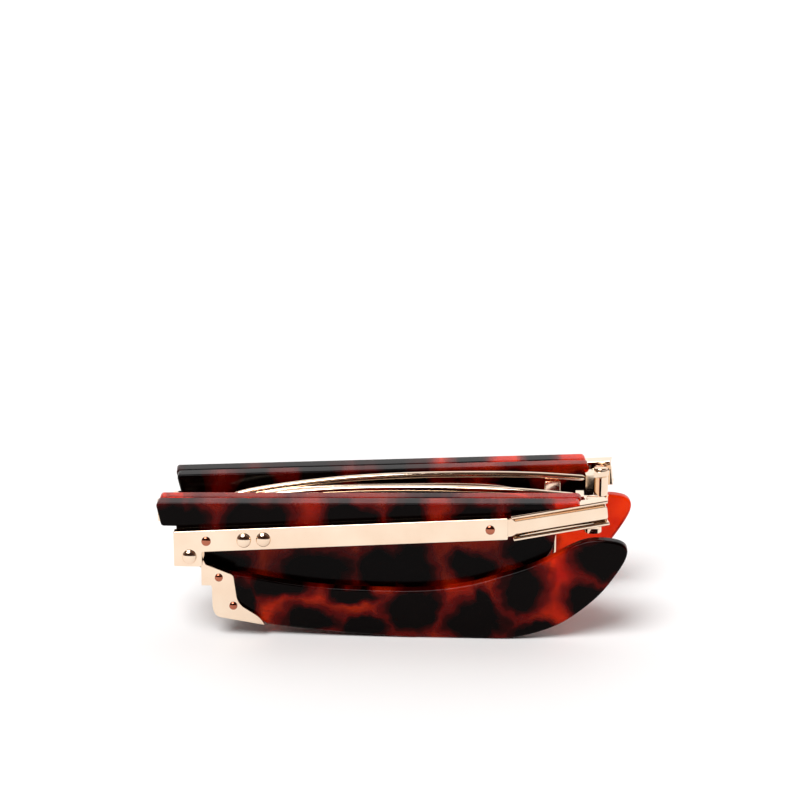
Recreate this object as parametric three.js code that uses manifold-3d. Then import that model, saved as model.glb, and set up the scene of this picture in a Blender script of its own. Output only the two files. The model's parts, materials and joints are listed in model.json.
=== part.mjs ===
// Folding reading glasses, folded up and standing on the lower edges of the temple tips.
// Millimetres. X runs from the folding bridge (-) to the temple hinges (+), -Y is the side of
// the wearer's right temple, +Z is up. The two halves are alike, but mirrored.
//
// One half is drawn flat, in its own frame: x along the half, "depth" outwards from the
// plane Y = 0, z up. It is then turned a little about its bridge pin, because the two
// halves close at the bridge and stay slightly apart at the hinges.
import * as THREE from 'three';
import { mergeVertices } from 'three/addons/utils/BufferGeometryUtils.js';
import Module from 'manifold-3d';

const manifold = await Module();
manifold.setup();

// ---------- driving dimensions ----------
const RIGHT_SPLAY = THREE.MathUtils.degToRad(3.2);  // how far each half turns out from the plane Y = 0
const LEFT_SPLAY = THREE.MathUtils.degToRad(1.7);
const LEFT_SHIFT = 2.1;                         // the left half lies a little nearer the hinge end
const RUNNING_GAP = 0.06;                       // radial gap between a pin and its hole
const FIT_GAP = 0.1;                            // gap between fixed neighbours

// folding bridge
const BRIDGE_PIN_X = -36.8;
const BRIDGE_PIN_DEPTH = 1.4;
const BRIDGE_PIN_RADIUS = 0.5;
const BRIDGE_EYE_RADIUS = 1.2;
const BRIDGE_BOTTOM = 16.9;
const BRIDGE_TOP = 20.3;
const BRIDGE_LINK_BOTTOM = 18;
const BRIDGE_LINK_TOP = 19.2;

// lens and its rim
const FRONT_DEPTH = 1.4;                        // middle plane of the half-front
const LENS_CENTRE_X = -2.65;
const LENS_HALF_WIDTH = 26.35;
const LENS_HALF_HEIGHT = 9.85;
const LENS_SQUARENESS = 4;                      // exponent of the superellipse
const RIM_WIDTH = 0.95;
const RIM_THICKNESS = 1.3;
const LENS_THICKNESS = 0.8;
const GROOVE_DEPTH = 0.4;
const LENS_CENTRE_Z = LENS_HALF_HEIGHT + RIM_WIDTH;
const BROW_RADIUS = 0.5;

// temple hinge
const HINGE_X = 32.1;
const HINGE_DEPTH = 4.2;
const HINGE_EAR_RADIUS = 1.35;
const HINGE_KNUCKLE_RADIUS = 1.25;
const HINGE_SCREW_RADIUS = 0.6;
const HINGE_EAR_TOP = 22.5;
const HINGE_EAR_BOTTOM = 17.1;
const HINGE_EAR_HEIGHT = 0.85;

// front half of the temple
const LINER_DEPTH = 3.9;
const LINER_THICKNESS = 2.55;
const SLAB_DEPTH = 6.5;
const SLAB_THICKNESS = 2.75;
const TEMPLE_TOP_LEFT = 22.6;                     // top edge of both temple layers at the bridge end
const TEMPLE_TOP_RIGHT = 23.5;                    // and at the hinge end
const BAR_DEPTH = 9.3;
const BAR_THICKNESS = 1.5;
const BAR_HEIGHT = 3.6;
const BAR_END_X = 18.6;
const BAR_START_Z = 16.8;                       // middle of the bar at the plate's right edge
const BAR_RISE = THREE.MathUtils.degToRad(3.35); // the bar climbs towards the hinge
const PLATE_LEFT_X = -34.4;
const PLATE_RIGHT_X = -29.9;
const PLATE_BOTTOM = 12.5;
const CHANNEL_LENGTH = 16;
const CHANNEL_HEIGHT = 4.2;
const CHANNEL_DEPTH = 2.2;
const CHANNEL_WALL = 0.65;
const CHANNEL_TURN = THREE.MathUtils.degToRad(12.5);
const CHANNEL_RISE = THREE.MathUtils.degToRad(6.3);
const TONGUE_HEIGHT = 2.4;
const TONGUE_THICKNESS = 0.8;

// tip and its pocket-knife pivot
const PIVOT_X = -31.9;
const PIVOT_Z = 14.2;
const PIVOT_SHANK_RADIUS = 0.7;
const PIVOT_HEAD_RADIUS = 1.15;
const TIP_DEPTH = 6.6;
const TIP_THICKNESS = 2.0;
const BRACKET_DEPTH = 8.65;
const BRACKET_THICKNESS = 0.6;
const NECK_RADIUS = 2.2;
const NECK_CLEARANCE = 0.4;

const FINE = 20;                                // sides of a round part
const PLAIN = 12;                               // sides of a small round part

// ---------- materials ----------
const gold = new THREE.MeshStandardMaterial({ color: 0xe9cba6, roughness: 0.16, metalness: 1 });
const copper = new THREE.MeshStandardMaterial({ color: 0xb4714e, roughness: 0.25, metalness: 1 });
const tortoise = new THREE.MeshStandardMaterial({ color: 0x7d1408, roughness: 0.35, metalness: 0 });
const clearLens = new THREE.MeshStandardMaterial({
  color: 0xeaf3f5, roughness: 0.03, metalness: 0, transparent: true, opacity: 0.3,
});
const clearPad = new THREE.MeshStandardMaterial({
  color: 0xf1ece2, roughness: 0.25, metalness: 0, transparent: true, opacity: 0.6,
});

// ---------- solid helpers ----------
function solidFrom(geometry) {
  const bare = geometry.clone();
  bare.deleteAttribute('normal');
  bare.deleteAttribute('uv');
  const merged = mergeVertices(bare, 1e-5);
  const mesh = new manifold.Mesh({
    numProp: 3,
    vertProperties: new Float32Array(merged.attributes.position.array),
    triVerts: new Uint32Array(merged.index.array),
  });
  return new manifold.Manifold(mesh);
}

function geometryFrom(solid) {
  const mesh = solid.getMesh();
  const geometry = new THREE.BufferGeometry();
  geometry.setAttribute('position', new THREE.BufferAttribute(mesh.vertProperties, 3));
  geometry.setIndex(new THREE.BufferAttribute(mesh.triVerts, 1));
  geometry.computeVertexNormals();
  return geometry;
}

function cut(solid, ...cutters) {
  return cutters.reduce((left, cutter) => left.subtract(cutter), solid);
}

function join(...solids) {
  return solids.reduce((whole, solid) => whole.add(solid));
}

// a flat piece: an outline in x and z, carried outwards from one depth by its thickness
function plate(outline, depth, thickness, { edge = 0, curveSegments = 6 } = {}) {
  const geometry = new THREE.ExtrudeGeometry(outline, {
    depth: thickness - 2 * edge,
    bevelEnabled: edge > 0,
    bevelThickness: edge,
    bevelSize: edge,
    bevelOffset: -edge,
    bevelSegments: 1,
    curveSegments,
  });
  geometry.translate(0, 0, depth + edge);
  geometry.rotateX(Math.PI / 2);
  return solidFrom(geometry);
}

// a block between two corners given as [x, depth, z]
function block([x0, depth0, z0], [x1, depth1, z1]) {
  const geometry = new THREE.BoxGeometry(x1 - x0, depth1 - depth0, z1 - z0);
  geometry.translate((x0 + x1) / 2, -(depth0 + depth1) / 2, (z0 + z1) / 2);
  return solidFrom(geometry);
}

// an upright round piece: profile points are [radius, z]
function upright(profile, x, depth, sides = FINE) {
  const points = profile.map(([radius, z]) => new THREE.Vector2(radius, z));
  const geometry = new THREE.LatheGeometry(points, sides);
  geometry.rotateX(Math.PI / 2);
  geometry.translate(x, -depth, 0);
  return solidFrom(geometry);
}

// a round piece that points outwards: profile points are [radius, depth]
function outward(profile, x, z, sides = PLAIN) {
  const points = profile.map(([radius, depth]) => new THREE.Vector2(radius, depth));
  const geometry = new THREE.LatheGeometry(points, sides);
  geometry.rotateX(Math.PI);
  geometry.translate(x, 0, z);
  return solidFrom(geometry);
}

function uprightRod(radius, bottom, top, x, depth, sides = FINE) {
  return upright([[0, bottom], [radius, bottom], [radius, top], [0, top]], x, depth, sides);
}

function outwardRod(radius, inner, outer, x, z, sides = PLAIN) {
  return outward([[0, inner], [radius, inner], [radius, outer], [0, outer]], x, z, sides);
}

// a wire through points given as [x, depth, z]
function wire(points, radius, steps, sides = 8) {
  const path = new THREE.CatmullRomCurve3(points.map(([x, depth, z]) => new THREE.Vector3(x, -depth, z)));
  const section = new THREE.Shape();
  for (let side = 0; side < sides; side += 1) {
    const angle = ((side + 0.5) / sides) * Math.PI * 2;
    const corner = [radius * Math.cos(angle), radius * Math.sin(angle)];
    if (side === 0) section.moveTo(...corner);
    else section.lineTo(...corner);
  }
  return solidFrom(new THREE.ExtrudeGeometry(section, { steps, extrudePath: path, bevelEnabled: false }));
}

function outlineOf(points) {
  return new THREE.Shape(points.map(([x, z]) => new THREE.Vector2(x, z)));
}

function spline(shape, points) {
  shape.splineThru(points.map(([x, z]) => new THREE.Vector2(x, z)));
}

// ---------- half-front: rim, lens, brow wire, bridge arm, end piece, nose pad ----------
function lensOutline(grow) {
  const steps = 56;
  const power = 2 / LENS_SQUARENESS;
  const points = [];
  for (let step = 0; step < steps; step += 1) {
    const angle = (step / steps) * Math.PI * 2;
    const across = Math.cos(angle);
    const up = Math.sin(angle);
    points.push([
      LENS_CENTRE_X + (LENS_HALF_WIDTH + grow) * Math.sign(across) * Math.abs(across) ** power,
      LENS_CENTRE_Z + (LENS_HALF_HEIGHT + grow) * Math.sign(up) * Math.abs(up) ** power,
    ]);
  }
  return outlineOf(points);
}

function makeRim() {
  const ring = plate(lensOutline(RIM_WIDTH), FRONT_DEPTH - RIM_THICKNESS / 2, RIM_THICKNESS, { edge: 0.25 });
  const opening = plate(lensOutline(0), 0, 2 * FRONT_DEPTH);
  const grooveWidth = LENS_THICKNESS + FIT_GAP;
  const groove = plate(lensOutline(GROOVE_DEPTH), FRONT_DEPTH - grooveWidth / 2, grooveWidth);
  return cut(ring, opening, groove);
}

function makeLens() {
  const outline = lensOutline(GROOVE_DEPTH - FIT_GAP);
  return plate(outline, FRONT_DEPTH - LENS_THICKNESS / 2, LENS_THICKNESS, { edge: 0.2 });
}

function bridgeArmBar() {
  return block([-35.4, FRONT_DEPTH - 0.65, BRIDGE_BOTTOM], [-26, FRONT_DEPTH + 0.65, BRIDGE_TOP]);
}

function rimClearance() {
  const thickness = RIM_THICKNESS + 2 * FIT_GAP;
  return plate(lensOutline(RIM_WIDTH + FIT_GAP), FRONT_DEPTH - thickness / 2, thickness);
}

function makeBridgeArm() {
  const eye = uprightRod(BRIDGE_EYE_RADIUS, BRIDGE_BOTTOM, BRIDGE_TOP, BRIDGE_PIN_X, BRIDGE_PIN_DEPTH);
  const neck = block([BRIDGE_PIN_X, 0.75, BRIDGE_BOTTOM], [-35.3, 2.05, BRIDGE_TOP]);
  const slot = block([-40, -1, BRIDGE_LINK_BOTTOM - FIT_GAP], [-34.4, 4, BRIDGE_LINK_TOP + FIT_GAP]);
  const hole = uprightRod(BRIDGE_PIN_RADIUS + RUNNING_GAP, 10, 30, BRIDGE_PIN_X, BRIDGE_PIN_DEPTH);
  return cut(join(eye, neck, bridgeArmBar()), slot, hole, rimClearance());
}

function makeBridgePin() {
  const headRadius = 0.85;
  const headHeight = 0.3;
  const bottom = BRIDGE_BOTTOM - RUNNING_GAP;
  const top = BRIDGE_TOP + RUNNING_GAP;
  return upright([
    [0, bottom - headHeight], [headRadius, bottom - headHeight], [headRadius, bottom],
    [BRIDGE_PIN_RADIUS, bottom], [BRIDGE_PIN_RADIUS, top], [headRadius, top],
    [headRadius * 0.8, top + headHeight], [0, top + headHeight],
  ], BRIDGE_PIN_X, BRIDGE_PIN_DEPTH);
}

// the link joins the two bridge pins; it is drawn straight in the object's own frame
function makeBridgeLink() {
  const ends = [[BRIDGE_PIN_X, BRIDGE_PIN_DEPTH], [BRIDGE_PIN_X + LEFT_SHIFT, -BRIDGE_PIN_DEPTH]];
  const eyes = ends.map((end) => uprightRod(BRIDGE_EYE_RADIUS, BRIDGE_LINK_BOTTOM, BRIDGE_LINK_TOP, ...end));
  const holes = ends.map((end) => uprightRod(BRIDGE_PIN_RADIUS + RUNNING_GAP, 10, 30, ...end));
  return cut(manifold.Manifold.hull(eyes), ...holes);
}

const BROW_ROUTE = [
  [-31.5, 17.9], [-27.2, 20.1], [-20, 21.4], [-10, 22.45], [0, 22.9], [10, 22.95], [20, 22.7], [29.2, 22],
];

function makeBrowWire() {
  const route = BROW_ROUTE.map(([x, z]) => [x, FRONT_DEPTH, z]);
  const armClearance = block([-37, 0, BRIDGE_BOTTOM - FIT_GAP], [-25, 3, BRIDGE_TOP + FIT_GAP]);
  return cut(wire(route, BROW_RADIUS, 30, 6), armClearance, rimClearance());
}

const CLOSING_SCREW = { x: 23.9, z: 20.1, radius: 0.35, headRadius: 0.6 };

function makeClosingBlock() {
  const { x, z, radius } = CLOSING_SCREW;
  const body = block([22.6, FRONT_DEPTH - 0.7, 17.6], [25.2, FRONT_DEPTH + 0.7, 21.7]);
  const hole = outwardRod(radius + RUNNING_GAP, FRONT_DEPTH - 0.4, 5, x, z);
  return cut(body, hole, rimClearance());
}

function makeClosingScrew() {
  const { x, z, radius, headRadius } = CLOSING_SCREW;
  const face = FRONT_DEPTH + 0.7 + RUNNING_GAP;
  return outward([
    [0, FRONT_DEPTH - 0.3], [radius, FRONT_DEPTH - 0.3], [radius, face],
    [headRadius, face], [headRadius * 0.7, face + 0.3], [0, face + 0.35],
  ], x, z);
}

function makeEndPiece() {
  const wallLeft = 29.3;
  const wallRight = 30.6;
  const wall = block([wallLeft, 0.75, HINGE_EAR_BOTTOM], [wallRight, 3.6, HINGE_EAR_TOP + 0.2]);
  const ear = (bottom) => {
    const top = bottom + HINGE_EAR_HEIGHT;
    return join(
      uprightRod(HINGE_EAR_RADIUS, bottom, top, HINGE_X, HINGE_DEPTH),
      block([wallLeft, 2.2, bottom], [HINGE_X + 0.5, 3.6, top]),
    );
  };
  const upperEar = ear(HINGE_EAR_TOP - HINGE_EAR_HEIGHT);
  const lowerEar = ear(HINGE_EAR_BOTTOM);
  const hole = uprightRod(HINGE_SCREW_RADIUS + RUNNING_GAP, 10, 30, HINGE_X, HINGE_DEPTH);
  return cut(join(wall, upperEar, lowerEar), hole);
}

function makeHingeScrew() {
  const headRadius = 1.15;
  const top = HINGE_EAR_TOP + RUNNING_GAP;
  const body = upright([
    [0, HINGE_EAR_BOTTOM], [HINGE_SCREW_RADIUS, HINGE_EAR_BOTTOM], [HINGE_SCREW_RADIUS, top],
    [headRadius, top], [headRadius, top + 0.2], [headRadius * 0.75, top + 0.4], [0, top + 0.4],
  ], HINGE_X, HINGE_DEPTH);
  const slot = block([HINGE_X - 2, HINGE_DEPTH - 0.15, top + 0.2], [HINGE_X + 2, HINGE_DEPTH + 0.15, top + 1]);
  return cut(body, slot);
}

const PAD = { x: -29.2, depth: 3.15, z: 13.9, halfWidth: 2.3, halfThickness: 0.45, halfHeight: 4.2 };

function makePadArm() {
  const cupDepth = 2.3;
  const arm = wire([
    [-30.3, 1.4, 16.2], [-31.1, 1.8, 15.7], [-30.6, cupDepth + 0.06, 14.8], [PAD.x, cupDepth + 0.06, PAD.z],
  ], 0.28, 10, 6);
  const cup = block([PAD.x - 1, cupDepth, PAD.z - 1.3], [PAD.x + 1, cupDepth + 0.25, PAD.z + 1.3]);
  return cut(join(arm, cup), rimClearance());
}

function makeNosePad() {
  const geometry = new THREE.SphereGeometry(1, 16, 8);
  geometry.scale(PAD.halfWidth, PAD.halfThickness, PAD.halfHeight);
  geometry.translate(PAD.x, -PAD.depth, PAD.z);
  return solidFrom(geometry);
}

// ---------- temple, front half: two tortoise layers, gold bar, hinge channel ----------
// height of the bar's middle line at a given x
function barMiddle(x) {
  return BAR_START_Z + (x - PLATE_RIGHT_X) * Math.tan(BAR_RISE);
}

// the channel and the tongue turn inwards from the end of the bar, and climb more steeply
function alongChannel(solid) {
  const turned = solid.rotate([0, -THREE.MathUtils.radToDeg(CHANNEL_RISE), 0]);
  return turned
    .rotate([0, 0, THREE.MathUtils.radToDeg(CHANNEL_TURN)])
    .translate([BAR_END_X, -BAR_DEPTH, barMiddle(BAR_END_X)]);
}

// a block in the channel's own frame: x from the bar's end, depth from the bar's inner face
function channelBlock(x0, depth0, z0, x1, depth1, z1) {
  return alongChannel(block([x0, depth0, z0], [x1, depth1, z1]));
}

const CHANNEL_BACK = -0.55;                     // the web's back face, measured from the bar's inner face

function channelClearance() {
  const reach = CHANNEL_HEIGHT / 2 + 0.15;
  return channelBlock(-0.3, CHANNEL_BACK - 0.15, -reach, CHANNEL_LENGTH + 6, 6, reach);
}

function makeHingeChannel() {
  const half = CHANNEL_HEIGHT / 2;
  const front = CHANNEL_BACK + CHANNEL_DEPTH;
  const body = channelBlock(0.4, CHANNEL_BACK, -half, CHANNEL_LENGTH, front, half);
  const inside = channelBlock(
    -1, CHANNEL_BACK + CHANNEL_WALL, -half + CHANNEL_WALL, CHANNEL_LENGTH + 3, front + 1, half - CHANNEL_WALL,
  );
  const knuckleBottom = HINGE_EAR_BOTTOM + HINGE_EAR_HEIGHT + FIT_GAP;
  const knuckleTop = HINGE_EAR_TOP - HINGE_EAR_HEIGHT - FIT_GAP;
  const knuckle = join(
    uprightRod(HINGE_KNUCKLE_RADIUS, knuckleBottom, knuckleTop, HINGE_X, HINGE_DEPTH),
    block([HINGE_X - 1.1, HINGE_DEPTH, knuckleBottom], [HINGE_X + 1.1, HINGE_DEPTH + 1.9, knuckleTop]),
  );
  const hole = uprightRod(HINGE_SCREW_RADIUS + RUNNING_GAP, 10, 30, HINGE_X, HINGE_DEPTH);
  return join(cut(body, inside), cut(knuckle, hole));
}

const FASTENERS = {
  rear_bar_rivet: { x: -29.2, rise: 0, radius: 0.75, dome: 0.3, material: copper },
  front_bar_rivet: { x: 15.8, rise: 0, radius: 0.75, dome: 0.3, material: copper },
  rear_slab_screw: { x: -23.2, rise: -0.1, radius: 1.1, dome: 0.6, material: gold },
  front_slab_screw: { x: -20.1, rise: -0.1, radius: 1.1, dome: 0.6, material: gold },
};
const SHANK_SHARE = 0.55;                       // shank radius over head radius
const SHANK_INNER_DEPTH = SLAB_DEPTH + 0.8;

function fastenerPlace({ x, rise }) {
  return [x, barMiddle(x) + rise];
}

function fastenerHole(fastener) {
  const radius = fastener.radius * SHANK_SHARE + RUNNING_GAP;
  const place = fastenerPlace(fastener);
  return outwardRod(radius, SHANK_INNER_DEPTH - 0.2, BAR_DEPTH + BAR_THICKNESS + 1, ...place, 12);
}

// a domed head that stands on a face, with a shank going inwards
function domedPin(headRadius, dome, shankRadius, face, innerDepth, x, z) {
  const profile = [[0, innerDepth], [shankRadius, innerDepth], [shankRadius, face], [headRadius, face]];
  const rings = 3;
  for (let ring = 1; ring < rings; ring += 1) {
    const angle = (ring / rings) * (Math.PI / 2);
    profile.push([headRadius * Math.cos(angle), face + 0.08 + dome * Math.sin(angle)]);
  }
  profile.push([0, face + 0.08 + dome]);
  return outward(profile, x, z);
}

function makeFastener(fastener) {
  const face = BAR_DEPTH + BAR_THICKNESS + RUNNING_GAP;
  const shank = fastener.radius * SHANK_SHARE;
  return domedPin(fastener.radius, fastener.dome, shank, face, SHANK_INNER_DEPTH, ...fastenerPlace(fastener));
}

function pivotHole(radius, innerDepth = 0) {
  return outwardRod(radius, innerDepth, 12, PIVOT_X, PIVOT_Z);
}

function makePivotScrew() {
  const face = BAR_DEPTH + BAR_THICKNESS + RUNNING_GAP;
  return domedPin(PIVOT_HEAD_RADIUS, 0.55, PIVOT_SHANK_RADIUS, face, LINER_DEPTH + 0.8, PIVOT_X, PIVOT_Z);
}

function makeTempleBar() {
  const half = BAR_HEIGHT / 2;
  const top = (x) => barMiddle(x) + half;
  const bottom = (x) => barMiddle(x) - half;
  const outline = outlineOf([
    [PLATE_LEFT_X, PLATE_BOTTOM], [PLATE_RIGHT_X, PLATE_BOTTOM], [PLATE_RIGHT_X, bottom(PLATE_RIGHT_X)],
    [BAR_END_X, bottom(BAR_END_X)], [BAR_END_X, top(BAR_END_X)], [PLATE_LEFT_X, top(PLATE_LEFT_X)],
  ]);
  const bar = plate(outline, BAR_DEPTH, BAR_THICKNESS, { edge: 0.12 });
  const tongueDepth = CHANNEL_BACK + CHANNEL_WALL + FIT_GAP;
  const tongueOutline = new THREE.Shape();
  const reach = CHANNEL_LENGTH - TONGUE_HEIGHT / 2;
  tongueOutline.moveTo(-0.6, -TONGUE_HEIGHT / 2);
  tongueOutline.absarc(reach, 0, TONGUE_HEIGHT / 2, -Math.PI / 2, Math.PI / 2, false);
  tongueOutline.lineTo(-0.6, TONGUE_HEIGHT / 2);
  const tongue = alongChannel(plate(tongueOutline, tongueDepth, TONGUE_THICKNESS));
  const holes = Object.values(FASTENERS).map(fastenerHole);
  return cut(join(bar, tongue), pivotHole(PIVOT_SHANK_RADIUS + RUNNING_GAP), ...holes);
}

// a flat spring on the channel's floor, under the tongue, that makes the temple snap open
function makeHingeSpring() {
  const floor = -CHANNEL_HEIGHT / 2 + CHANNEL_WALL;
  const depth = CHANNEL_BACK + CHANNEL_WALL + FIT_GAP;
  const outline = new THREE.Shape();
  outline.moveTo(1.5, floor + 0.04);
  outline.lineTo(13.5, floor + 0.04);
  outline.lineTo(13.5, floor + 0.14);
  outline.quadraticCurveTo(7.5, floor + 0.36, 1.5, floor + 0.14);
  return alongChannel(plate(outline, depth, 1.1));
}

// the top edge that both layers share, drawn from the hinge end to the bridge end
function templeTop(outline, right, left) {
  outline.lineTo(right, TEMPLE_TOP_RIGHT - 0.8);
  outline.quadraticCurveTo(right - 0.1, TEMPLE_TOP_RIGHT, right - 0.8, TEMPLE_TOP_RIGHT);
  outline.lineTo(left + 0.7, TEMPLE_TOP_LEFT);
  outline.quadraticCurveTo(left, TEMPLE_TOP_LEFT, left + 0.1, TEMPLE_TOP_LEFT - 0.7);
}

function makeTempleSlab() {
  const behindBar = (x) => barMiddle(x) - BAR_HEIGHT / 2 + 0.4;
  const outline = new THREE.Shape();
  outline.moveTo(PLATE_LEFT_X + 0.3, 18.7);
  outline.lineTo(PLATE_LEFT_X + 0.3, 17.5);
  outline.lineTo(PIVOT_X, 17.2);
  outline.lineTo(PIVOT_X, behindBar(PIVOT_X));
  outline.lineTo(BAR_END_X, behindBar(BAR_END_X));
  outline.lineTo(30, behindBar(30));
  templeTop(outline, 30, -37.3);
  outline.lineTo(-36.6, 19.2);
  outline.quadraticCurveTo(-36.5, 18.7, -36, 18.7);
  const body = plate(outline, SLAB_DEPTH, SLAB_THICKNESS, { edge: 0.2, curveSegments: 3 });
  const holes = Object.values(FASTENERS).map(fastenerHole);
  return cut(body, pivotHole(NECK_RADIUS + NECK_CLEARANCE), channelClearance(), ...holes);
}

function makeTempleLiner() {
  const outline = new THREE.Shape();
  outline.moveTo(PLATE_LEFT_X + 0.3, 18.9);
  outline.lineTo(PLATE_LEFT_X + 0.3, 14.4);
  outline.quadraticCurveTo(-34, 12.6, -32.4, 12.5);
  spline(outline, [[-30.4, 11.9], [-28.6, 9.4], [-22, 7.4], [-9, 6.1], [3.4, 6.1], [14, 7.6], [22.5, 11.4]]);
  outline.quadraticCurveTo(25.9, 13.4, 26.1, 16.6);
  outline.quadraticCurveTo(26.2, 17.6, 27.4, 17.7);
  outline.lineTo(29.4, 17.9);
  outline.quadraticCurveTo(30.2, 18, 30.2, 18.8);
  templeTop(outline, 30.2, -37.1);
  outline.lineTo(-36.4, 19.3);
  outline.quadraticCurveTo(-36.3, 18.9, -35.9, 18.9);
  const body = plate(outline, LINER_DEPTH, LINER_THICKNESS, { edge: 0.25, curveSegments: 3 });
  return cut(body, pivotHole(PIVOT_SHANK_RADIUS + RUNNING_GAP, LINER_DEPTH + 0.6), channelClearance());
}

// ---------- temple tip and its bracket ----------
const BRACKET_RIVETS = {
  upper_bracket_rivet: [-27.45, 10.1],
  lower_bracket_rivet: [-25.2, 5.3],
};
const BRACKET_RIVET_RADIUS = 0.72;

function bracketRivetHoles() {
  const radius = BRACKET_RIVET_RADIUS * SHANK_SHARE + RUNNING_GAP;
  return Object.values(BRACKET_RIVETS).map((place) => outwardRod(radius, TIP_DEPTH + 0.5, 12, ...place, 12));
}

function makeTempleTip() {
  const outline = new THREE.Shape();
  outline.moveTo(4, 0);
  outline.lineTo(17, 0);
  spline(outline, [
    [19.5, 0.2], [23.5, 1.2], [27.7, 3.1], [32.1, 6.6], [35, 10], [37.4, 14.2], [36.9, 16.4], [33.3, 17.1],
    [29.7, 16.4], [23.5, 13], [17.7, 10.8], [11.5, 9], [3.4, 8.1], [-8.9, 8.3], [-16.1, 9], [-22.4, 10],
    [-25.9, 10.4],
  ]);
  outline.lineTo(-29.6, 12.2);
  outline.lineTo(PIVOT_X + 0.6, PIVOT_Z + 1.5);
  outline.lineTo(PIVOT_X - 1, PIVOT_Z - 1.5);
  outline.lineTo(-30, 11.3);
  outline.lineTo(-28.35, 8.4);
  outline.lineTo(-28.35, 5.2);
  outline.quadraticCurveTo(-28.2, 3.8, -27.05, 3.45);
  outline.lineTo(-20.3, 2.25);
  outline.lineTo(-19.9, 1.9);
  outline.quadraticCurveTo(-8, 0.35, 4, 0);
  const body = plate(outline, TIP_DEPTH, TIP_THICKNESS, { edge: 0.3, curveSegments: 3 });
  const neck = outwardRod(NECK_RADIUS - 0.1, TIP_DEPTH, TIP_DEPTH + TIP_THICKNESS, PIVOT_X, PIVOT_Z, FINE);
  return cut(join(body, neck), pivotHole(PIVOT_SHANK_RADIUS + RUNNING_GAP), ...bracketRivetHoles());
}

function makeTipBracket() {
  const outline = new THREE.Shape();
  outline.moveTo(PIVOT_X - 1.2, PIVOT_Z - 1.6);
  outline.lineTo(-30.25, 11.9);
  outline.lineTo(-30.25, 8.7);
  outline.lineTo(-28.6, 8.7);
  outline.lineTo(-28.55, 5.1);
  outline.quadraticCurveTo(-28.4, 3.5, -27.25, 3.25);
  outline.lineTo(-20.2, 2.05);
  outline.quadraticCurveTo(-20.6, 3.1, -21.6, 3.8);
  outline.lineTo(-23.6, 5.1);
  outline.quadraticCurveTo(-24.6, 6, -24.7, 7.1);
  outline.lineTo(-25.1, 10.2);
  outline.quadraticCurveTo(-25.2, 10.6, -25.6, 10.75);
  outline.lineTo(-29.5, 12.3);
  outline.lineTo(PIVOT_X + 1, PIVOT_Z + 1);
  const body = plate(outline, BRACKET_DEPTH, BRACKET_THICKNESS);
  const neck = outwardRod(NECK_RADIUS, BRACKET_DEPTH, BRACKET_DEPTH + BRACKET_THICKNESS, PIVOT_X, PIVOT_Z, FINE);
  return cut(join(body, neck), pivotHole(PIVOT_SHANK_RADIUS + RUNNING_GAP), ...bracketRivetHoles());
}

function makeBracketRivet([x, z]) {
  const face = BRACKET_DEPTH + BRACKET_THICKNESS + RUNNING_GAP;
  const shank = BRACKET_RIVET_RADIUS * SHANK_SHARE;
  return domedPin(BRACKET_RIVET_RADIUS, 0.3, shank, face, TIP_DEPTH + 0.7, x, z);
}

// ---------- assembly ----------
const halfPieces = {
  rim: [makeRim(), gold],
  lens: [makeLens(), clearLens],
  brow_wire: [makeBrowWire(), gold],
  closing_block: [makeClosingBlock(), gold],
  closing_screw: [makeClosingScrew(), copper],
  bridge_arm: [makeBridgeArm(), gold],
  bridge_pin: [makeBridgePin(), gold],
  end_piece: [makeEndPiece(), gold],
  hinge_screw: [makeHingeScrew(), gold],
  pad_arm: [makePadArm(), gold],
  nose_pad: [makeNosePad(), clearPad],
  temple_liner: [makeTempleLiner(), tortoise],
  temple_slab: [makeTempleSlab(), tortoise],
  temple_bar: [makeTempleBar(), gold],
  hinge_channel: [makeHingeChannel(), gold],
  hinge_spring: [makeHingeSpring(), gold],
  pivot_screw: [makePivotScrew(), gold],
  temple_tip: [makeTempleTip(), tortoise],
  tip_bracket: [makeTipBracket(), gold],
};
for (const [name, fastener] of Object.entries(FASTENERS)) {
  halfPieces[name] = [makeFastener(fastener), fastener.material];
}
for (const [name, place] of Object.entries(BRACKET_RIVETS)) {
  halfPieces[name] = [makeBracketRivet(place), copper];
}

function named(name, solid, material) {
  const mesh = new THREE.Mesh(geometryFrom(solid), material.clone());
  mesh.name = name;
  return mesh;
}

// side is -1 for the wearer's right half, which lies at -Y, and +1 for the left half
function makeHalf(prefix, side) {
  const half = new THREE.Group();
  const shift = side > 0 ? LEFT_SHIFT : 0;
  half.position.set(BRIDGE_PIN_X + shift, side * BRIDGE_PIN_DEPTH, 0);
  half.rotation.z = side < 0 ? -RIGHT_SPLAY : LEFT_SPLAY;
  const drawing = new THREE.Group();
  drawing.position.set(-BRIDGE_PIN_X, -side * BRIDGE_PIN_DEPTH, 0);
  half.add(drawing);
  for (const [name, [solid, material]] of Object.entries(halfPieces)) {
    const sided = side < 0 ? solid : solid.mirror([0, 1, 0]);
    drawing.add(named(`${prefix}_${name}`, sided, material));
  }
  return half;
}

const glasses = new THREE.Group();
glasses.add(makeHalf('right', -1));
glasses.add(makeHalf('left', 1));
glasses.add(named('bridge_link', makeBridgeLink(), gold));

// the origin is the middle of the footprint, on the surface that the glasses stand on
const box = new THREE.Box3().setFromObject(glasses, true);
const centre = box.getCenter(new THREE.Vector3());
glasses.position.set(-centre.x, -centre.y, -box.min.z);

export default glasses;
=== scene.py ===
"""The looks of the folding reading glasses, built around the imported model.

Every visible part is a finer piece that stands for one CAD node and rides on its body. Pieces
are drawn in the frame of one half of the glasses, in millimetres: x along the half, depth
outwards from the plane between the halves, z up. Half.place puts a drawn point into the row
frame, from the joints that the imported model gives.
"""

import json
import math

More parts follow.
